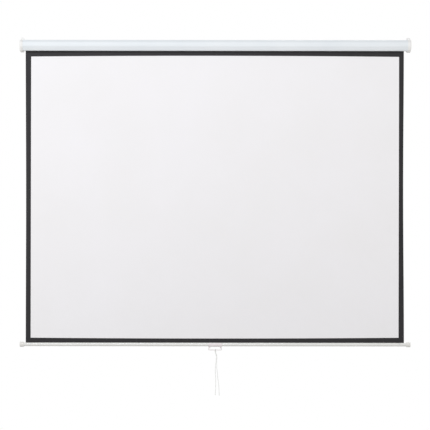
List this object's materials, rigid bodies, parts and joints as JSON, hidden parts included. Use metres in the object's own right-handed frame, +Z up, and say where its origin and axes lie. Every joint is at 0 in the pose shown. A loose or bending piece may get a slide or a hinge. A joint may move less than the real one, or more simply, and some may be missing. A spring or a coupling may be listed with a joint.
{
  "type": "pull down projector screen",
  "caption": "Wall-hung manual projector screen: a spring roller in a painted case, a white surface in a black border, and a weight bar with a pull handle and cord.",
  "frame": {"origin": "on the wall plane behind the case, halfway along it, level with the roller's axis", "axes": "+X along the screen to the viewer's right, +Y into the wall, +Z up, so the viewer stands on the -Y side; stored with the screen pulled fully down"},
  "size_m": [2.122, 0.062, 1.9421],
  "materials": {
    "painted_steel": "satin",
    "white_plastic": "satin",
    "handle_plastic": "satin",
    "grey_rubber": "matte",
    "white_sheet": "matte",
    "black_sheet": "matte",
    "painted_bar": "satin",
    "zinc_steel": "satin",
    "dark_steel": "satin",
    "grey_plastic": "matte",
    "natural_nylon": "satin",
    "white_cord": "matte"
  },
  "bodies": {
    "case": {"case_housing": "painted_steel", "end_cap_left": "white_plastic", "end_cap_right": "white_plastic", "stop_pad_left": "grey_rubber", "stop_pad_right": "grey_rubber", "cap_screw_left_lower": "zinc_steel", "cap_screw_left_upper": "zinc_steel", "cap_screw_right_lower": "zinc_steel", "cap_screw_right_upper": "zinc_steel", "roller_bracket_left": "zinc_steel", "roller_bracket_right": "zinc_steel", "idle_bush": "natural_nylon", "spindle": "zinc_steel", "ratchet_wheel": "dark_steel", "torsion_spring": "dark_steel", "spring_anchor": "grey_plastic", "viewing_surface": "white_sheet", "backing_sheet": "black_sheet"},
    "roller": {"roller_tube": "zinc_steel", "fabric_spline": "grey_plastic", "wound_sheet": "black_sheet", "spring_plug": "grey_plastic", "plug_bush": "natural_nylon", "idle_plug": "grey_plastic", "idle_pin": "zinc_steel", "pawl_pin_a": "zinc_steel", "pawl_pin_b": "zinc_steel"},
    "pawl_a": {"pawl_a": "dark_steel"},
    "pawl_b": {"pawl_b": "dark_steel"},
    "bar": {"bottom_hem": "black_sheet", "hem_rod": "grey_plastic", "weight_bar": "painted_bar", "bar_end_cap_left": "white_plastic", "bar_end_cap_right": "white_plastic", "bar_screw_left": "zinc_steel", "bar_screw_right": "zinc_steel", "handle_sleeve": "handle_plastic"},
    "handle": {"pull_loop": "handle_plastic", "cord_hitch": "white_cord", "cord_knot": "white_cord", "cord_tail_left": "white_cord", "cord_tail_right": "white_cord", "cord_tip_left": "white_cord", "cord_tip_right": "white_cord"}
  },
  "joints": [
    {"name": "bar_slide", "type": "slide", "parent": "case", "child": "bar", "axis": [0, 0, 1], "range_m": [0, 1.57236], "deforming": ["viewing_surface", "backing_sheet"]},
    {"name": "roller_spin", "type": "hinge", "parent": "case", "child": "roller", "pos_m": [0, -0.034, 0], "axis": [1, 0, 0], "range_deg": [0, 4680]},
    {"name": "pawl_a_swing", "type": "hinge", "parent": "roller", "child": "pawl_a", "pos_m": [0, -0.034, 0.01452], "axis": [1, 0, 0], "range_deg": [0, 28]},
    {"name": "pawl_b_swing", "type": "hinge", "parent": "roller", "child": "pawl_b", "pos_m": [0, -0.034, -0.01452], "axis": [1, 0, 0], "range_deg": [0, 28]},
    {"name": "handle_swing", "type": "hinge", "parent": "bar", "child": "handle", "pos_m": [0, -0.01475, -1.6385], "axis": [1, 0, 0], "range_deg": [-75, 45]}
  ],
  "couplings": [
    {"joint": "roller_spin", "follows": "bar_slide", "rad_per_m": 51.948}
  ]
}
